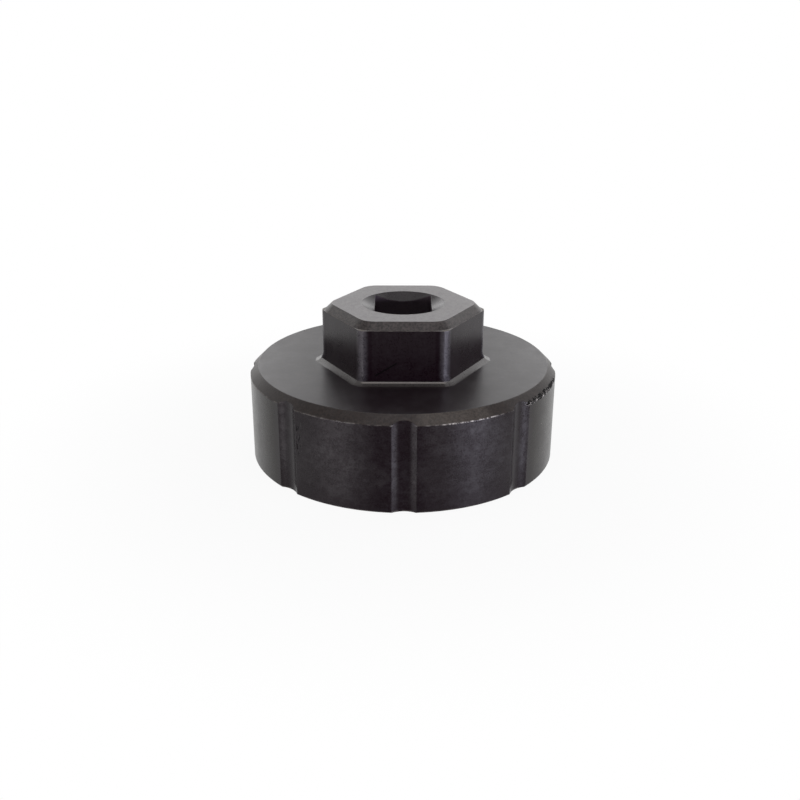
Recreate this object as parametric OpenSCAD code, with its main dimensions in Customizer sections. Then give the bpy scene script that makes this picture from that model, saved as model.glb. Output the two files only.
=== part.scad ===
/* [Cup socket] */
// Outside diameter of the notched cup that the mouth goes over
cup_d = 44; // [38:0.5:50]
// Clearance between the cup and the bore, on the diameter
cup_clearance = 0.4; // [0.2:0.1:0.8]
// Number of teeth inside the mouth, one for each notch of the cup
tooth_count = 16; // [8:1:20]
// Diameter of the round back of each tooth
tooth_d = 4.4; // [3.6:0.1:5]
// How far each tooth stands in from the bore
tooth_reach = 1.6; // [1:0.1:1.8]
// Length of the teeth, from the mouth up
tooth_length = 8.5; // [5:0.5:12]
// Height of the turned relief between the teeth and the floor
relief_h = 2; // [1.5:0.1:4]
// Lead-in around the inside of the mouth and over the tooth ends
lead_in = 1; // [0.5:0.1:1.4]
// Radius in the corner between the bore and the floor
floor_fillet = 0.8; // [0.3:0.1:1.4]

/* [Round body] */
// Wall between the bore and the outside of the body
wall = 3.8; // [3:0.1:6]
// Thickness of the web between the socket and the flat top
web = 5.4; // [3:0.1:9]
// Chamfer around the top edge of the body
rim_chamfer = 1.4; // [0.6:0.1:2]
// Edge break around the outside of the mouth
mouth_break = 0.1; // [0.1:0.05:0.6]

/* [Grip grooves] */
// Number of upright grip grooves around the body
groove_count = 8; // [4:1:12]
// Diameter of the round cutter that leaves each groove
groove_d = 7; // [4:0.5:9]
// Depth of each groove
groove_depth = 0.7; // [0.3:0.1:1]

/* [Hexagon] */
// Size of the hexagon across its flats
hex_af = 24; // [20:0.5:30]
// Height of the hexagon above the body
hex_h = 10.1; // [7:0.1:16]
// How far the sharp corners of the hexagon are turned down
corner_cut = 0.26; // [0.1:0.02:0.6]
// Chamfer milled around the top, over the flats and the corners
top_chamfer = 1.2; // [0.6:0.1:2]
// Radius that the chamfer's lower edge follows around each corner
corner_round = 4.2; // [3:0.1:5]
// Radius of the fillet at the foot of the hexagon
foot_fillet = 1.5; // [0.5:0.1:2.5]

/* [Square drive] */
// Side of the square drive hole
drive_side = 9.6; // [6.4:0.1:12.8]
// Diameter of the countersink where the drive goes in
sink_d = 14; // [12:0.5:17]
// Included angle of the countersink
sink_angle = 124; // [90:2:140]

/* [Hidden] */
$fn = 96;
steel = [0.16, 0.155, 0.16];

// Radii and levels that several features share
bore_r = (cup_d + cup_clearance) / 2;
body_r = bore_r + wall;
socket_depth = tooth_length + relief_h;
body_h = socket_depth + web;
flat_r = hex_af / 2;
corner_r = flat_r / cos(30) - corner_cut;
// Distance from the middle to the axis of each rounded corner of the chamfer
corner_axis_r = (flat_r - corner_round) / cos(30);
top_z = body_h + hex_h;
sink_depth = (sink_d / 2) / tan(sink_angle / 2);
// How far cutters run past the faces that they open
past = 1;
// The foot curves sit a hair low, so that each meets the flat top at a clean edge
foot_z = body_h - 0.005 * foot_fillet;
// The turned foot curve stops just short of where it would lie flat
foot_r = corner_r + 0.93 * foot_fillet;

// Turned outside of the body, as a half section
module body_section() {
    polygon([
        [0, 0],
        [body_r - mouth_break, 0],
        [body_r, mouth_break],
        [body_r, body_h - rim_chamfer],
        [body_r - rim_chamfer, body_h],
        [0, body_h]
    ]);
}

// Turned stub from which the hexagon is milled, with its foot radius
module stub_section() {
    difference() {
        polygon([
            [0, body_h - past],
            [foot_r, body_h - past],
            [foot_r, foot_z + foot_fillet],
            [corner_r, foot_z + foot_fillet],
            [corner_r, top_z],
            [0, top_z]
        ]);
        translate([corner_r + foot_fillet, foot_z + foot_fillet])
            circle(r = foot_fillet);
    }
}

// What the milling cutter clears outside one flat, radius at its foot
module flat_cut_section() {
    difference() {
        polygon([
            [flat_r, foot_z],
            [body_r, foot_z],
            [body_r, top_z + past],
            [flat_r - top_chamfer - past, top_z + past],
            [flat_r, top_z - top_chamfer]
        ]);
        difference() {
            translate([flat_r, foot_z])
                square([foot_fillet, foot_fillet]);
            translate([flat_r + foot_fillet, foot_z + foot_fillet])
                circle(r = foot_fillet);
        }
    }
}

// The six flats, the first one facing the front
module flat_cuts() {
    for (i = [0 : 5])
        rotate([0, 0, 60 * i - 90])
            rotate([90, 0, 0])
                linear_extrude(height = 2 * body_r, center = true)
                    flat_cut_section();
}

// Where the chamfer turns one corner: a wedge less the cone that is left standing
module corner_chamfer_cut() {
    translate([corner_axis_r, 0, top_z - top_chamfer])
        difference() {
            linear_extrude(height = top_chamfer + past)
                polygon([
                    [0, 0],
                    [body_r, -body_r * tan(30)],
                    [body_r, body_r * tan(30)]
                ]);
            cylinder(h = top_chamfer, r1 = corner_round, r2 = corner_round - top_chamfer);
        }
}

// The chamfer over the six corners
module corner_chamfer_cuts() {
    for (i = [0 : 5])
        rotate([0, 0, 60 * i])
            corner_chamfer_cut();
}

// Hexagonal wrench head standing in the top of the body
module hex_head() {
    difference() {
        rotate_extrude() stub_section();
        flat_cuts();
        corner_chamfer_cuts();
    }
}

// One upright grip groove, open at both ends
module groove_cut() {
    translate([body_r - groove_depth + groove_d / 2, 0, -past])
        cylinder(h = body_h + 2 * past, d = groove_d);
}

// The ring of grip grooves, the first one facing the front
module groove_cuts() {
    for (i = [0 : groove_count - 1])
        rotate([0, 0, 360 / groove_count * i - 90])
            groove_cut();
}

// Turned bore of the socket, with a radius at its floor
module bore_section() {
    difference() {
        polygon([
            [0, -past],
            [bore_r, -past],
            [bore_r, socket_depth],
            [0, socket_depth]
        ]);
        difference() {
            translate([bore_r - floor_fillet, socket_depth - floor_fillet])
                square([floor_fillet + past, floor_fillet + past]);
            translate([bore_r - floor_fillet, socket_depth - floor_fillet])
                circle(r = floor_fillet);
        }
    }
}

// One tooth, a round back that stands in from the bore
module tooth() {
    translate([bore_r - tooth_reach + tooth_d / 2, 0, -2 * past])
        cylinder(h = tooth_length + 2 * past, d = tooth_d);
}

// The ring of teeth, one of them behind each grip groove
module teeth() {
    for (i = [0 : tooth_count - 1])
        rotate([0, 0, 360 / tooth_count * i - 90])
            tooth();
}

// Cone that breaks the mouth and the ends of the teeth
module mouth_cone() {
    translate([0, 0, -past])
        cylinder(
            h = lead_in + tooth_reach + past,
            r1 = bore_r + lead_in + past,
            r2 = bore_r - tooth_reach
        );
}

// All that is cleared out of the underside for the cup
module cup_space() {
    difference() {
        rotate_extrude() bore_section();
        teeth();
    }
    mouth_cone();
}

// Square drive hole, right through, with its countersink
module drive_cut() {
    translate([-drive_side / 2, -drive_side / 2, 0])
        cube([drive_side, drive_side, top_z + past]);
    translate([0, 0, top_z - sink_depth])
        cylinder(
            h = sink_depth + past,
            r1 = 0,
            r2 = sink_d / 2 * (sink_depth + past) / sink_depth
        );
}

// The whole tool, one piece of steel
module socket_body() {
    color(steel)
        difference() {
            union() {
                rotate_extrude() body_section();
                hex_head();
            }
            groove_cuts();
            cup_space();
            drive_cut();
        }
}

socket_body();
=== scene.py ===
"""Looks for the bottom bracket tool: camera, light, floor and the black-oxide steel."""

import math

import bpy
from mathutils import Matrix, Vector


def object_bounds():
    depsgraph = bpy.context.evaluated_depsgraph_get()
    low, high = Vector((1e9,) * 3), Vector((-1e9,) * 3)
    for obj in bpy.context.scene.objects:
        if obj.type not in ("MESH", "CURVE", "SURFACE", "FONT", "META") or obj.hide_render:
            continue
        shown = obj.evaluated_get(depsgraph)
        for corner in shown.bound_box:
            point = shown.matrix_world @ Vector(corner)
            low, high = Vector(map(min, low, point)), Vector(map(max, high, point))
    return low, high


for spare in ("Cube", "Light", "Camera"):
    if spare in bpy.data.objects:
        bpy.data.objects.remove(bpy.data.objects[spare])

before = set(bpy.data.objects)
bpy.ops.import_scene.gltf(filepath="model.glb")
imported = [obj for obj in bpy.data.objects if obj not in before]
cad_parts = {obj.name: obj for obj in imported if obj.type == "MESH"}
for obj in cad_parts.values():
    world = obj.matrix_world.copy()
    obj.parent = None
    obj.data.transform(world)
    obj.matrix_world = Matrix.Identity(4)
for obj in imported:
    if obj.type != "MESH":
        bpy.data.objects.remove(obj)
cad_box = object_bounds()
MM = 0.001

# Sizes of the tool that the marks on its surface follow
TOP_Z = cad_box[1].z
HEX_H = 10.1 * MM
BODY_TOP = TOP_Z - HEX_H
BODY_R = 26.0 * MM
RIM_CHAMFER = 1.4 * MM
RIM_EDGE_Z = BODY_TOP - RIM_CHAMFER
TOP_CHAMFER = 1.2 * MM
HEX_EDGE_Z = TOP_Z - TOP_CHAMFER
CORNER_R = 13.6 * MM
FOOT_R = 15.1 * MM
FOOT_H = 1.5 * MM
SINK_R = 7.0 * MM

# Camera, found by fitting it to the edges in the photograph
CAMERA_PLACE = Vector((-0.48, -161.23, 72.88)) * MM
CAMERA_PITCH = math.radians(21.815)
CAMERA_ROLL = math.radians(0.208)
TOOL_TURN = math.radians(0.38)
FOCAL_MM = 44.75
SENSOR_MM = 36
NEAREST_SEEN = 10 * MM

# How much of the floor near the tool is plain white; the rest takes light and shadow
FLOOR_WHITE = 0.93
FLOOR_COLOR = (0.8, 0.8, 0.8, 1)
FLOOR_SIZE = 6
# Distances over which the floor fades to plain white
FLOOR_FADE = (34 * MM, 80 * MM)
# Inside the mouth of the tool the floor takes only real light, and it lies below the rim
MOUTH_FADE = (20 * MM, 22 * MM)
FLOOR_Z = -0.02 * MM

# The world is plain white where it is seen, and fills the light in with this strength
WORLD_FILL = 0.05
WHITE = (1, 1, 1, 1)

# Soft boxes: distance from the tool, width and height, and colours of the light
BOX_DISTANCE = 0.5
SQUARE_BOX = (0.25, 0.25)
LOW_STRIP = (0.18, 0.06)
BACK_BOX = (0.3, 0.2)
TOP_BOX = (0.4, 0.4)
FRONT_BOX = (0.3, 0.25)
PLAIN = (1.0, 1.0, 1.0)
NEUTRAL = (1.0, 0.97, 0.99)
COOL = (0.85, 0.86, 1.0)
WARM = (1.0, 0.98, 0.95)

# Colours of the black oxide, of the chamfers and of the worn or chipped spots, and of the
# painted shade, sheen, highlights and light on the side walls, foot, corners and hole
OXIDE = (0.0042, 0.0015, 0.0028, 1)
OXIDE_PALE = (0.0115, 0.0088, 0.0102, 1)
# Painted shade with a painted warm tone on the side walls' reflections
SIDE_SHADE_BROWN = (0.0075, 0.0056, 0.0045, 1)
RIM_COLOR = (0.0110, 0.0075, 0.0060)
RIM_WORN = (0.034, 0.028, 0.023)
HEX_CHAMFER = (0.0210, 0.0170, 0.0155)
HEX_TOP = (0.290, 0.278, 0.281)
# Painted sheen: the paler foot of the hexagon
FOOT_PAINTED_SHEEN = (0.045, 0.040, 0.037, 1)
# Painted highlight on the front of the foot's crease
CREASE_PAINTED_HIGHLIGHT = (0.21, 0.192, 0.175, 1)
# Scraped finish of the upright corners, partly a painted highlight
CORNER_SCRAPED_AND_HIGHLIGHT = (0.036, 0.032, 0.037)
# Painted light: a paler colour inside the hole
HOLE_PAINTED_LIGHT = (0.075, 0.058, 0.070, 1)
DULL_STEEL = (0.15, 0.135, 0.12, 1)
BARE_STEEL = (0.42, 0.39, 0.36, 1)
PIT_COLOR = (0.001, 0.001, 0.001, 1)

# Tints of the gloss: pale and dark oxide, the pale one also a painted highlight on the corners,
# and the flats, the stains with the painted shade in the front groove and beside the corners,
# and the painted shade on the side walls
GLOSS_PALE = (0.96, 0.93, 0.96, 1)
GLOSS_DARK = (0.46, 0.43, 0.45, 1)
GLOSS_FLAT = (0.32, 0.30, 0.31, 1)
# Gloss of stains and dark marks, also used for the painted shade in the front groove and beside
# the corners
GLOSS_STAIN_AND_SHADE = (0.16, 0.14, 0.15, 1)
# Painted shade on the side walls' gloss
GLOSS_SIDE_SHADE = (0.41, 0.38, 0.37, 1)
# Share of the pale gloss where the oxide is darkest, and how much more where it is pale
GLOSS_START = 0.35
GLOSS_GAIN = 0.7
# How far stains, dark marks and the painted shade in the front groove and beside the corners
# take the gloss down, and how far the hole does
STAIN_AND_SHADE_SHARE = 0.85
SINK_DULL = 0.6

# Roughness of the walls, of the rough chamfers, of the flat top and of the hexagon's top
WALL_ROUGH = 0.30
CHAMFER_ROUGH = 0.36
DISC_ROUGH = 0.36
HEX_TOP_ROUGH = 0.53
# How much patches and mottle vary it, and how much rougher a chip is
PATCH_ROUGH = 0.04
MOTTLE_ROUGH = 0.06
PIT_ROUGH = 0.5
# How far the lathe's lay stretches the gloss across it, and the strength of the gloss
LAY_STRETCH = 0.85
QUARTER_TURN = 0.25
SPECULAR = 0.29

# How far the light rounds the edges: most of them, and the hexagon's upright corners
EDGE_ROUND = 0.22 * MM
CORNER_ROUND = 0.85 * MM
ROUND_SAMPLES = 8

# Depths of the bumps: lathe lines, clouds, grit and chips
LAY_DEPTH = 0.002 * MM
CLOUD_DEPTH = 0.03 * MM
GRIT_DEPTH = 0.03 * MM
PIT_DEPTH = 0.15 * MM
# How much of the chamfers' grit the other surfaces have
GRIT_ELSEWHERE = 0.06

# Scales of the noises
LAY_SCALE = 2600.0
GRAIN_SCALE = 4200.0
COARSE_SCALE = 2600.0
SPOT_SCALE = 1000.0
CLOUD_SCALE = 260.0
WORN_SCALE = 900.0
CHIP_SCALE = 1400.0
NICK_SCALE = 2400.0
# The lathe lines run around the axis as slowly as on a circle of this radius
LAY_R = 3.0 * MM
# The nicks are drawn out upward by keeping this share of the height
NICK_STRETCH = 0.35

# Levels between which each noise turns into its mark
BROKEN = (0.42, 0.6)
PATCHY = (0.38, 0.64)
MOTTLED = (0.38, 0.62)
DOTTED = (0.30, 0.70)
STAINED = (0.34, 0.52)
CRUMBLED = (0.45, 0.49)
SLIVERED = (0.40, 0.42)
STROKED = (0.52, 0.58)

# Shares of lathe lines, grains and spots in the mottle, and of the patches in its strength
LAY_SHARE = 0.2
GRAIN_SHARE = 0.45
SPOT_SHARE = 0.35
PATCH_SHARE = 0.6
# How much of the mottle's paleness the hexagon's flats lose
CALM_FLATS = 0.6

# How far a face looks up: level, sloping and curved faces, and where upright ones end
LEVEL = (0.97, 0.995)
SLOPING = (0.5, 0.9)
CURVED = (0.04, 0.99)
UPRIGHT_END = (0.1, 0.3)

# Radii over which the masks of the body and of the hexagon fade in or out
OUTER_WALL = (BODY_R - 3.0 * MM, BODY_R - 2.6 * MM)
GROOVE_END = (BODY_R - 0.62 * MM, BODY_R - 0.45 * MM)
FULL_ROUND = (BODY_R - 0.12 * MM, BODY_R - 0.04 * MM)
TURNED_LAND = (CORNER_R - 0.14 * MM, CORNER_R - 0.08 * MM)
FOOT_END = (FOOT_R, FOOT_R + 0.2 * MM)
SINK_END = (SINK_R - 0.1 * MM, SINK_R + 0.1 * MM)
# Heights of the hexagon's top zone, and of the part where its corners are rounded
TOP_ZONE = (TOP_Z - 1.5 * MM, TOP_Z - 1.3 * MM)
ROUNDED_ZONE = (BODY_TOP + 1.0 * MM, TOP_Z - 2.0 * MM)

# Pale band on each upright corner, a scraped finish that is partly a painted highlight, from its
# middle outward, and the painted shade lines beside it
CORNER_CORE = 0.15 * MM
CORNER_PALE = 1.3 * MM
CORNER_REACH = 1.5 * MM
CORNER_SHADE_SPAN = (CORNER_PALE * 0.9, CORNER_REACH)
SIXTH_TURN = math.pi / 3

# The photograph's foot: where its crease shows, and the sine of the slope just below it
CREASE_H = 0.52 * MM
CREASE_Z = BODY_TOP + CREASE_H
CREASE_SOFT = 0.03 * MM
CREASE_SLOPE = 0.41
# How early the foot rises to that slope, and where on the rise the painted highlight of the
# crease begins
FOOT_BEND = 0.15
CREASE_HIGHLIGHT_RISE = (0.90, 0.95)
# Heights over which the looks of the hexagon's sides begin, just above the crease
SIDE_START = (CREASE_Z, CREASE_Z + 0.05 * MM)

# Azimuths of the marks that the photograph shows, and of the painted shade on the side walls and
# in the front groove and the painted highlight at the front of the crease, 0 at the front and 90
# at the right
WORN_LINE = (16, 29)
PALE_RIM = (8, 27)
CHIPPED_RIM = (50, 74)
STAIN = (-8, 4)
NICKS = (-39.4, -38.2)
# Painted shade on the walls from these azimuths round to the back
PAINTED_SHADE_SIDES = (48, 54)
# Painted shade in the groove at the front
FRONT_GROOVE_SHADE = (-5, 5)
# Painted highlight at the front of the foot's crease
FRONT_CREASE_HIGHLIGHT = (-27, 27)

# Heights of the marks: worn lines, chips and the flecks below them, nicks, dull low wall
RIM_LINE = (RIM_EDGE_Z - 0.06 * MM, RIM_EDGE_Z + 0.06 * MM)
HEX_LINE = (HEX_EDGE_Z - 0.03 * MM, HEX_EDGE_Z + 0.02 * MM)
MOUTH_LINE = (0.05 * MM, 0.18 * MM)
CHIPS_Z = (RIM_EDGE_Z - 0.1 * MM, RIM_EDGE_Z + 0.25 * MM)
FLECKS_END = (RIM_EDGE_Z, RIM_EDGE_Z + 0.2 * MM)
NICKS_Z = (8 * MM, 12 * MM)
LOW_WALL = (0.5 * MM, 5.5 * MM)
# Radii over which the worn line and the chips come in, and how far from a corner a tip is
RIM_LINE_R = (BODY_R - 0.35 * MM, BODY_R - 0.1 * MM)
CHIPS_R = (BODY_R - 1.1 * MM, BODY_R - 0.8 * MM)
TIP_END = (0.4 * MM, 1.0 * MM)

# How worn the edges are: the rim all around, the hexagon's edge and the mouth
RIM_WEAR = 0.14
HEX_WEAR = 0.2
HEX_WEAR_BROKEN = 0.3
MOUTH_WEAR = 0.4
# How much harder it is to chip at the edge of the chipped spot
CHIP_HOLD = 0.25
# How far into that spot, from 0 at its edge to 1, the pits and then the flecks come in
PITS_COME = (0.0, 0.1)
FLECKS_COME = (0.5, 0.8)

# A dark scratch on the front flat: where it starts and ends, across and up
SCRATCH_START = (-4.4 * MM, 17.4 * MM)
SCRATCH_END = (-1.3 * MM, 19.3 * MM)
SCRATCH_WIDTH = 0.12 * MM
SCRATCH_FADE = (SCRATCH_WIDTH / 2, SCRATCH_WIDTH * 1.5)
FRONT_FLAT_Y = -11 * MM


class Net:
    """Small helpers that keep a node graph readable."""

    def __init__(self, tree):
        self.tree = tree

    def node(self, kind):
        return self.tree.nodes.new("ShaderNode" + kind)

    def put(self, value, socket):
        """Set a socket to a number or a colour, or link another node's output to it."""
        if isinstance(value, (int, float, tuple)):
            socket.default_value = value
        else:
            self.tree.links.new(value, socket)

    def math(self, operation, first, second=0.0, clamp=False):
        node = self.node("Math")
        node.operation = operation
        node.use_clamp = clamp
        self.put(first, node.inputs[0])
        self.put(second, node.inputs[1])
        return node.outputs[0]

    def product(self, first, *others):
        for other in others:
            first = self.math("MULTIPLY", first, other)
        return first

    def total(self, first, *others):
        for other in others:
            first = self.math("ADD", first, other)
        return first

    def largest(self, first, *others):
        for other in others:
            first = self.math("MAXIMUM", first, other)
        return first

    def opposite(self, share):
        """1 where the share is 0, and 0 where it is 1."""
        return self.math("SUBTRACT", 1.0, share)

    def ramp(self, value, start, end, low=0.0, high=1.0, kind="SMOOTHSTEP"):
        """From low to high while the value goes from start to end."""
        node = self.node("MapRange")
        node.interpolation_type = kind
        self.put(value, node.inputs["Value"])
        node.inputs["From Min"].default_value = start
        node.inputs["From Max"].default_value = end
        node.inputs["To Min"].default_value = low
        node.inputs["To Max"].default_value = high
        return node.outputs["Result"]

    def between(self, value, low, high, soft):
        """1 between low and high, fading to 0 over the distance soft outside them."""
        rise = self.ramp(value, low - soft, low)
        fall = self.ramp(value, high, high + soft)
        return self.product(rise, self.opposite(fall))

    def vector(self, operation, first, second=(0.0, 0.0, 0.0)):
        node = self.node("VectorMath")
        node.operation = operation
        self.put(first, node.inputs[0])
        self.put(second, node.inputs["Scale" if operation == "SCALE" else 1])
        return node.outputs["Vector"]

    def length(self, vector):
        node = self.node("VectorMath")
        node.operation = "LENGTH"
        self.put(vector, node.inputs[0])
        return node.outputs["Value"]

    def split(self, vector):
        node = self.node("SeparateXYZ")
        self.put(vector, node.inputs[0])
        return node.outputs

    def joined(self, x, y, z):
        node = self.node("CombineXYZ")
        for value, socket in zip((x, y, z), node.inputs):
            self.put(value, socket)
        return node.outputs[0]

    def noise(self, place, scale, detail=3.0, roughness=0.6):
        node = self.node("TexNoise")
        self.put(place, node.inputs["Vector"])
        node.inputs["Scale"].default_value = scale
        node.inputs["Detail"].default_value = detail
        node.inputs["Roughness"].default_value = roughness
        return node.outputs["Fac"]

    def mix(self, share, first, second):
        node = self.node("Mix")
        node.data_type = "RGBA"
        self.put(share, node.inputs["Factor"])
        self.put(first, node.inputs["A"])
        self.put(second, node.inputs["B"])
        return node.outputs["Result"]

    def mix_shader(self, share, first, second):
        node = self.node("MixShader")
        self.put(share, node.inputs["Fac"])
        self.put(first, node.inputs[1])
        self.put(second, node.inputs[2])
        return node.outputs["Shader"]

    def bump(self, normal, height, depth, strength):
        node = self.node("Bump")
        self.put(normal, node.inputs["Normal"])
        self.put(height, node.inputs["Height"])
        node.inputs["Distance"].default_value = depth
        node.inputs["Strength"].default_value = strength
        return node.outputs["Normal"]


class SteelNet(Net):
    """The steel's node graph, with the place and the facing of each spot on the tool."""

    def __init__(self, material):
        material.use_nodes = True
        super().__init__(material.node_tree)
        spot = self.node("TexCoord").outputs
        self.here = spot["Object"]
        self.facing = spot["Normal"]
        self.x, self.y, self.z = self.split(self.here)
        self.up = self.split(self.facing)[2]
        across = self.total(self.product(self.x, self.x), self.product(self.y, self.y))
        self.r = self.math("SQRT", across)
        self.angle = self.math("ARCTAN2", self.x, self.product(self.y, -1.0))

    def azimuths(self, span, soft):
        """1 between two azimuths, fading to 0 over the given degrees outside them."""
        low, high = (math.radians(a) for a in span)
        return self.between(self.angle, low, high, math.radians(soft))

    def lathe_place(self, around, across):
        """Place along a lathe tool's path: slow around the axis, quick across it."""
        return self.joined(
            self.product(self.angle, around),
            self.product(self.r, across),
            self.product(self.z, across),
        )

    def speckled(self, share, color, spread):
        """A colour that a noise makes darker and paler by the given share."""
        dark = tuple(c * (1 - spread) for c in color) + (1,)
        pale = tuple(c * (1 + spread) for c in color) + (1,)
        return self.mix(share, dark, pale)


def make_camera():
    data = bpy.data.cameras.new("camera")
    data.lens = FOCAL_MM
    data.sensor_width = SENSOR_MM
    data.clip_start = NEAREST_SEEN
    camera = bpy.data.objects.new("camera", data)
    bpy.context.collection.objects.link(camera)
    turn = Matrix.Rotation(-TOOL_TURN, 4, "Z")
    tilt = Matrix.Rotation(math.pi / 2 - CAMERA_PITCH, 4, "X")
    roll = Matrix.Rotation(CAMERA_ROLL, 4, "Z")
    camera.matrix_world = turn @ Matrix.Translation(CAMERA_PLACE) @ tilt @ roll
    bpy.context.scene.camera = camera


def soft_box(name, azimuth, elevation, size, power, color=PLAIN):
    """A soft box that looks at the tool; azimuth 0 is the camera's side, 90 the right."""
    data = bpy.data.lights.new(name, "AREA")
    data.shape = "RECTANGLE"
    data.size, data.size_y = size
    data.energy = power
    data.color = color
    light = bpy.data.objects.new(name, data)
    bpy.context.collection.objects.link(light)
    az, el = math.radians(azimuth), math.radians(elevation)
    way = Vector((math.sin(az) * math.cos(el), -math.cos(az) * math.cos(el), math.sin(el)))
    target = Vector((0, 0, TOP_Z / 2))
    light.location = target + way * BOX_DISTANCE
    light.rotation_euler = (-way).to_track_quat("-Z", "Y").to_euler()


def seen_directly(net):
    """1 for camera, glossy and transmission rays, 0 for the rays that only carry light."""
    ray = net.node("LightPath").outputs
    return net.largest(ray["Is Camera Ray"], ray["Is Glossy Ray"], ray["Is Transmission Ray"])


def make_world():
    """White where it is seen, and a dimmer white where it only fills the light in."""
    world = bpy.data.worlds.new("world")
    bpy.context.scene.world = world
    world.use_nodes = True
    net = Net(world.node_tree)
    fill = net.tree.nodes["Background"]
    fill.inputs["Color"].default_value = WHITE
    fill.inputs["Strength"].default_value = WORLD_FILL
    seen = net.node("Background")
    seen.inputs["Color"].default_value = WHITE
    seen.inputs["Strength"].default_value = 1.0
    both = net.mix_shader(seen_directly(net), fill.outputs[0], seen.outputs[0])
    net.put(both, net.tree.nodes["World Output"].inputs["Surface"])


def floor_whiteness(net):
    """How much of plain white the floor shows: most around the tool, none in its mouth."""
    away = net.length(net.node("TexCoord").outputs["Object"])
    past_mouth = net.ramp(away, *MOUTH_FADE, kind="LINEAR")
    around = net.product(past_mouth, net.ramp(away, *FLOOR_FADE, FLOOR_WHITE, 1.0))
    return net.product(seen_directly(net), around)


def make_floor():
    """A pale floor, white around the tool, that keeps a soft shadow and shows from above."""
    bpy.ops.mesh.primitive_plane_add(size=FLOOR_SIZE, location=(0, 0, FLOOR_Z))
    floor = bpy.context.object
    floor.name = "floor"
    material = bpy.data.materials.new("floor")
    material.use_nodes = True
    net = Net(material.node_tree)
    matt = net.tree.nodes["Principled BSDF"]
    matt.inputs["Base Color"].default_value = FLOOR_COLOR
    matt.inputs["Roughness"].default_value = 1.0
    matt.inputs["Specular IOR Level"].default_value = 0.0
    white = net.node("Emission")
    white.inputs["Strength"].default_value = 1.0
    above = net.mix_shader(floor_whiteness(net), matt.outputs["BSDF"], white.outputs["Emission"])
    clear = net.node("BsdfTransparent")
    from_below = net.node("NewGeometry").outputs["Backfacing"]
    one_sided = net.mix_shader(from_below, above, clear.outputs["BSDF"])
    net.put(one_sided, net.tree.nodes["Material Output"].inputs["Surface"])
    floor.data.materials.append(material)


def corner_offset(net):
    """Distance sideways from the line of the nearest upright corner of the hexagon."""
    sector = net.math("FRACT", net.math("DIVIDE", net.angle, SIXTH_TURN))
    turn = net.product(net.math("SUBTRACT", sector, 0.5), SIXTH_TURN)
    return net.math("ABSOLUTE", net.product(net.r, net.math("SINE", turn)))


def foot_mask(net):
    """1 on the curve at the foot of the hexagon."""
    curved = net.between(net.up, *CURVED, soft=0.005)
    near = net.opposite(net.ramp(net.r, *FOOT_END))
    low = net.between(net.z, BODY_TOP, BODY_TOP + FOOT_H, soft=0.01 * MM)
    return net.product(curved, near, low)


def body_masks(net, sloping, upright):
    """1 on each kind of surface of the round body, found from its place and its facing."""
    outer = net.ramp(net.r, *OUTER_WALL)
    wall = net.product(upright, outer)
    side_start, side_end = (math.radians(a) for a in PAINTED_SHADE_SIDES)
    at_side = net.ramp(net.math("ABSOLUTE", net.angle), side_start, side_end)
    return {
        "rim": net.product(sloping, outer),
        "turned": net.product(upright, net.ramp(net.r, *TURNED_LAND)),
        "wall": wall,
        # Painted shade: the walls from the sides round to the back, browner and less glossy
        "side_wall_painted_shade": net.product(wall, at_side),
        "plain_wall": net.product(upright, net.ramp(net.r, *FULL_ROUND)),
        "groove": net.product(wall, net.opposite(net.ramp(net.r, *GROOVE_END))),
    }


def head_masks(net, sloping, upright):
    """1 on each kind of surface around the hexagon and in its hole."""
    high = net.ramp(net.z, *TOP_ZONE)
    level = net.ramp(net.up, *LEVEL)
    sink = net.opposite(net.ramp(net.r, *SINK_END))
    foot = foot_mask(net)
    above_crease = net.ramp(net.z, *SIDE_START)
    side = net.product(net.largest(upright, foot), above_crease, net.opposite(sink))
    off = corner_offset(net)
    corner = net.product(side, net.opposite(net.ramp(off, CORNER_CORE, CORNER_PALE)))
    # Painted shade: thin dark lines beside each upright corner
    beside_corner = net.between(off, *CORNER_SHADE_SPAN, soft=0.25 * MM)
    near_corner = net.math("LESS_THAN", off, CORNER_REACH)
    away_from_ends = net.between(net.z, *ROUNDED_ZONE, soft=0.4 * MM)
    return {
        "disc": net.product(level, net.opposite(high)),
        "hex_top": net.product(level, high),
        "hex_chamfer": net.product(sloping, high, net.opposite(sink)),
        "flats": net.math("SUBTRACT", side, corner),
        "corner": corner,
        "corner_shade_line": net.product(side, beside_corner),
        "rounded": net.product(side, near_corner, away_from_ends),
        "foot": foot,
        "hole": net.product(sink, upright),
        "sink": sink,
    }


def bright_edge(net, broken):
    """The bare line that handling has left on the rim, brightest just right of the front."""
    line = net.between(net.z, *RIM_LINE, soft=0.06 * MM)
    line = net.product(line, net.ramp(net.r, *RIM_LINE_R))
    how_worn = net.total(net.azimuths(WORN_LINE, soft=5), RIM_WEAR)
    return net.math("MULTIPLY", net.product(line, how_worn), broken, clamp=True)


def dull_edges(net, sink, broken):
    """Faint worn lines around the hexagon, strongest at its corners, and at the mouth."""
    hex_line = net.between(net.z, *HEX_LINE, soft=0.03 * MM)
    hex_line = net.product(hex_line, net.opposite(sink))
    tips = net.opposite(net.ramp(corner_offset(net), *TIP_END))
    along_flats = net.total(net.product(broken, HEX_WEAR_BROKEN), HEX_WEAR)
    mouth_line = net.between(net.z, *MOUTH_LINE, soft=0.06 * MM)
    return net.largest(
        net.product(hex_line, net.largest(along_flats, tips)),
        net.product(mouth_line, broken, MOUTH_WEAR),
    )


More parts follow.
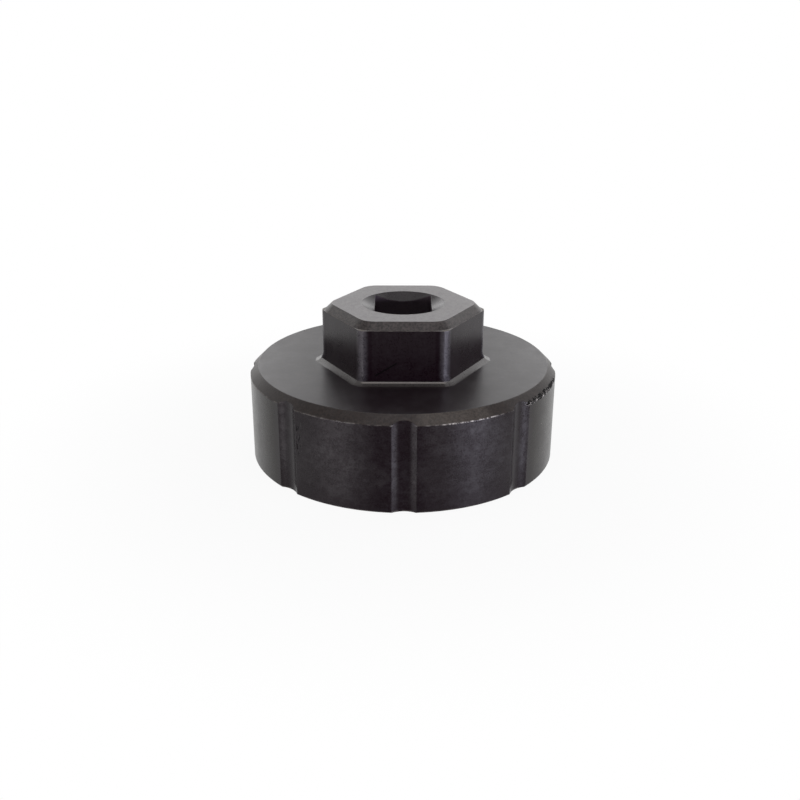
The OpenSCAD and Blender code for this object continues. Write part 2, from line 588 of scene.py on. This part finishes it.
def chips(net):
    """Crumbled oxide on the rim at the right, and the bare flecks in it."""
    band = net.between(net.z, *CHIPS_Z, soft=0.5 * MM)
    place = net.product(band, net.ramp(net.r, *CHIPS_R), net.azimuths(CHIPPED_RIM, soft=5))
    crumbs = net.noise(net.here, CHIP_SCALE)
    ragged = net.math("SUBTRACT", crumbs, net.product(net.opposite(place), CHIP_HOLD))
    pits = net.product(net.ramp(ragged, *CRUMBLED), net.ramp(place, *PITS_COME))
    slivers = net.between(ragged, *SLIVERED, soft=0.01)
    lower = net.opposite(net.ramp(net.z, *FLECKS_END))
    flecks = net.product(slivers, lower, net.ramp(place, *FLECKS_COME))
    return pits, flecks


def nicks(net):
    """Short dark strokes on the wall beside the left groove."""
    place = net.product(
        net.azimuths(NICKS, soft=0.6), net.between(net.z, *NICKS_Z, soft=1.0 * MM))
    strokes = net.noise(net.lathe_place(BODY_R, NICK_STRETCH), NICK_SCALE, detail=2.0)
    return net.product(place, net.ramp(strokes, *STROKED))


def scratch(net):
    """The dark scratch that runs up the front flat."""
    start_x, start_z = SCRATCH_START
    end_x, end_z = SCRATCH_END
    steepness = (end_z - start_z) / (end_x - start_x)
    line = net.product(net.math("SUBTRACT", net.x, start_x), steepness)
    rise = net.math("SUBTRACT", net.z, start_z)
    off = net.math("ABSOLUTE", net.math("SUBTRACT", rise, line))
    thin = net.opposite(net.ramp(off, *SCRATCH_FADE))
    along = net.between(net.x, start_x, end_x, soft=0.4 * MM)
    at_front = net.math("LESS_THAN", net.y, FRONT_FLAT_Y)
    on_head = net.math("LESS_THAN", net.r, CORNER_R)
    return net.product(thin, along, at_front, on_head)


def wear_masks(net, sink):
    """Where the oxide is worn dull, worn to bare steel, chipped, or just darker."""
    broken = net.ramp(net.noise(net.here, WORN_SCALE), *BROKEN)
    pits, flecks = chips(net)
    pits = net.math("ADD", pits, nicks(net), clamp=True)
    return {
        "dull": dull_edges(net, sink, broken),
        "bare": net.largest(bright_edge(net, broken), flecks),
        "pits": pits,
        "dark": net.largest(pits, scratch(net)),
    }


def finish_noises(net):
    """The noises that colour, gloss, roughness and bumps share."""
    lay = net.noise(net.lathe_place(LAY_R, 1.0), LAY_SCALE, roughness=0.7)
    grain = net.noise(net.here, GRAIN_SCALE, detail=2.0)
    spots = net.noise(net.here, SPOT_SCALE)
    coarse = net.noise(net.here, COARSE_SCALE, roughness=0.65)
    cloud = net.noise(net.here, CLOUD_SCALE, detail=4.0, roughness=0.65)
    blend = net.total(
        net.product(lay, LAY_SHARE),
        net.product(grain, GRAIN_SHARE),
        net.product(spots, SPOT_SHARE),
    )
    mottle = net.ramp(blend, *MOTTLED)
    patch = net.ramp(cloud, *PATCHY)
    strength = net.total(net.product(patch, PATCH_SHARE), 1 - PATCH_SHARE)
    return {
        "lay": lay,
        "coarse": coarse,
        "dots": net.ramp(coarse, *DOTTED),
        "cloud": cloud,
        "patch": patch,
        "mottle": mottle,
        "pale": net.product(mottle, strength),
    }


def above_foot(net):
    """0 on the photograph's foot, and 1 above its crease."""
    return net.ramp(net.z, CREASE_Z - CREASE_SOFT, CREASE_Z + CREASE_SOFT)


def foot_rise(net):
    """0 at the outer edge of the foot, growing to 1 at its crease, and 0 above the crease."""
    height = net.math("SUBTRACT", net.z, BODY_TOP)
    share = net.math("POWER", net.math("DIVIDE", height, CREASE_H, clamp=True), FOOT_BEND)
    return net.product(share, net.opposite(above_foot(net)))


def steel_color(net, masks, wear, noises):
    """Black oxide, paler on chamfers, foot, corners and the hexagon's top, and worn; painted
    shade with a warm tone on the side walls, painted sheen on the foot with a painted highlight
    on its crease, a partly painted highlight on the corners, and painted light in the hole.
    """
    dots, mottle = noises["dots"], noises["mottle"]
    calm = net.opposite(net.product(masks["flats"], CALM_FLATS))
    rim = net.mix(
        net.azimuths(PALE_RIM, soft=6),
        net.speckled(dots, RIM_COLOR, spread=0.45),
        net.speckled(dots, RIM_WORN, spread=0.35),
    )
    rise = net.product(masks["foot"], foot_rise(net))
    # Painted highlight: a pale line along the crease at the front
    crease = net.product(net.ramp(rise, *CREASE_HIGHLIGHT_RISE), net.azimuths(FRONT_CREASE_HIGHLIGHT, soft=3))
    color = net.mix(net.product(noises["pale"], calm), OXIDE, OXIDE_PALE)
    # Painted shade with a warm tone on the side walls
    color = net.mix(masks["side_wall_painted_shade"], color, SIDE_SHADE_BROWN)
    color = net.mix(masks["rim"], color, rim)
    color = net.mix(masks["hex_chamfer"], color, net.speckled(dots, HEX_CHAMFER, spread=0.8))
    color = net.mix(masks["hex_top"], color, net.speckled(mottle, HEX_TOP, spread=0.16))
    # Upright corners: scraped finish, partly a painted highlight
    color = net.mix(masks["corner"], color, net.speckled(mottle, CORNER_SCRAPED_AND_HIGHLIGHT, spread=0.3))
    # Painted sheen on the foot, up to its crease
    color = net.mix(rise, color, FOOT_PAINTED_SHEEN)
    # Painted highlight on the foot's crease
    color = net.mix(crease, color, CREASE_PAINTED_HIGHLIGHT)
    # Painted light inside the hole
    color = net.mix(masks["hole"], color, HOLE_PAINTED_LIGHT)
    color = net.mix(wear["dull"], color, DULL_STEEL)
    color = net.mix(wear["dark"], color, PIT_COLOR)
    return net.mix(wear["bare"], color, BARE_STEEL)


def steel_gloss(net, masks, wear, noises):
    """Tint of the gloss: darker on flats, low down, in stains and in chips, with painted shade
    on the side walls, in the front groove and beside the corners, and paler as a painted
    highlight on the corners.
    """
    pale = noises["pale"]
    low_wall = net.product(masks["wall"], net.opposite(net.ramp(net.z, *LOW_WALL)))
    dulled = net.largest(low_wall, net.product(masks["sink"], SINK_DULL))
    stain = net.product(net.azimuths(STAIN, soft=7), net.ramp(noises["cloud"], *STAINED))
    marks = net.largest(
        net.product(stain, masks["plain_wall"]),
        # Painted shade in the groove at the front
        net.product(masks["groove"], net.azimuths(FRONT_GROOVE_SHADE, soft=1)),
        # Painted shade beside the upright corners
        masks["corner_shade_line"],
        wear["dark"],
    )
    share = net.total(net.product(pale, GLOSS_GAIN), GLOSS_START)
    gloss = net.mix(share, GLOSS_DARK, GLOSS_PALE)
    gloss = net.mix(masks["flats"], gloss, net.mix(pale, GLOSS_FLAT, GLOSS_DARK))
    # Paler gloss on the upright corners, partly a painted highlight
    gloss = net.mix(masks["corner"], gloss, GLOSS_PALE)
    # Painted shade: dimmer, warmer gloss on the side walls
    gloss = net.mix(masks["side_wall_painted_shade"], gloss, GLOSS_SIDE_SHADE)
    gloss = net.mix(dulled, gloss, GLOSS_DARK)
    return net.mix(net.product(marks, STAIN_AND_SHADE_SHARE), gloss, GLOSS_STAIN_AND_SHADE)


def steel_roughness(net, masks, wear, noises, chamfers):
    """Roughness, which patches and mottle vary around each surface's own value."""
    rough = net.total(
        WALL_ROUGH - (PATCH_ROUGH + MOTTLE_ROUGH) / 2,
        net.product(noises["patch"], PATCH_ROUGH),
        net.product(noises["mottle"], MOTTLE_ROUGH),
        net.product(chamfers, CHAMFER_ROUGH - WALL_ROUGH),
        net.product(masks["disc"], DISC_ROUGH - WALL_ROUGH),
        net.product(masks["hex_top"], HEX_TOP_ROUGH - WALL_ROUGH),
    )
    return net.math("ADD", rough, net.product(wear["pits"], PIT_ROUGH), clamp=True)


def rounded_normal(net, masks):
    """Round the edges to the light, and the hexagon's upright corners more."""
    rounded = net.node("Bevel")
    rounded.samples = ROUND_SAMPLES
    wider = net.product(masks["rounded"], CORNER_ROUND - EDGE_ROUND)
    net.put(net.total(wider, EDGE_ROUND), rounded.inputs["Radius"])
    return rounded.outputs["Normal"]


def foot_normal(net, masks, plain):
    """Light the foot as the photograph's shallow curve with a crease, not as the full round."""
    above = above_foot(net)
    slope = net.product(foot_rise(net), CREASE_SLOPE)
    level = net.math("SQRT", net.opposite(net.product(slope, slope)))
    upward = net.joined(0.0, 0.0, net.product(level, net.opposite(above)))
    flat = net.vector("MULTIPLY", net.facing, (1.0, 1.0, 0.0))
    outward = net.vector("SCALE", net.vector("NORMALIZE", flat), net.total(slope, above))
    shallow = net.vector("ADD", outward, upward)
    shift = net.vector("SCALE", net.vector("SUBTRACT", shallow, plain), masks["foot"])
    return net.vector("NORMALIZE", net.vector("ADD", plain, shift))


def steel_normal(net, masks, wear, noises, chamfers):
    """Rounded edges and the foot, then the bumps of lathe lines, clouds, grit and chips."""
    grit = net.product(noises["coarse"], net.total(chamfers, GRIT_ELSEWHERE))
    normal = foot_normal(net, masks, rounded_normal(net, masks))
    normal = net.bump(normal, noises["lay"], LAY_DEPTH, strength=0.7)
    normal = net.bump(normal, noises["cloud"], CLOUD_DEPTH, strength=0.4)
    normal = net.bump(normal, grit, GRIT_DEPTH, strength=0.6)
    return net.bump(normal, net.opposite(wear["pits"]), PIT_DEPTH, strength=1.0)


def make_steel(material):
    net = SteelNet(material)
    sloping = net.between(net.up, *SLOPING, soft=0.05)
    upright = net.opposite(net.ramp(net.math("ABSOLUTE", net.up), *UPRIGHT_END))
    masks = body_masks(net, sloping, upright) | head_masks(net, sloping, upright)
    wear = wear_masks(net, masks["sink"])
    noises = finish_noises(net)
    chamfers = net.math("ADD", masks["rim"], masks["hex_chamfer"], clamp=True)
    around = net.node("Tangent")
    around.direction_type = "RADIAL"
    around.axis = "Z"
    sockets = net.tree.nodes["Principled BSDF"].inputs
    net.put(steel_color(net, masks, wear, noises), sockets["Base Color"])
    net.put(steel_gloss(net, masks, wear, noises), sockets["Specular Tint"])
    net.put(steel_roughness(net, masks, wear, noises, chamfers), sockets["Roughness"])
    net.put(steel_normal(net, masks, wear, noises, chamfers), sockets["Normal"])
    net.put(around.outputs["Tangent"], sockets["Tangent"])
    net.put(net.product(masks["turned"], LAY_STRETCH), sockets["Anisotropic"])
    sockets["Anisotropic Rotation"].default_value = QUARTER_TURN
    sockets["Metallic"].default_value = 0.0
    sockets["Specular IOR Level"].default_value = SPECULAR


make_camera()
make_world()
make_floor()

soft_box("low_left", -46, 4, LOW_STRIP, 1.00, NEUTRAL)
soft_box("low_right", 46, 4, LOW_STRIP, 1.60, COOL)
soft_box("side_left", -60, 4, LOW_STRIP, 0.22, NEUTRAL)
soft_box("side_right", 60, 4, LOW_STRIP, 1.00, COOL)
soft_box("high_left", -125, 45, SQUARE_BOX, 0.10)
soft_box("high_right", 125, 45, SQUARE_BOX, 0.39)
soft_box("behind_left", -155, 22, SQUARE_BOX, 0.31)
soft_box("behind_right", 155, 22, SQUARE_BOX, 0.25)
soft_box("behind", 180, 15, BACK_BOX, 0.07)
soft_box("above", 0, 89, TOP_BOX, 0.68)
soft_box("front_high", 0, 60, FRONT_BOX, 0.18, WARM)

make_steel(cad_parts["socket_body"].material_slots[0].material)

bpy.context.scene.view_settings.view_transform = "Standard"
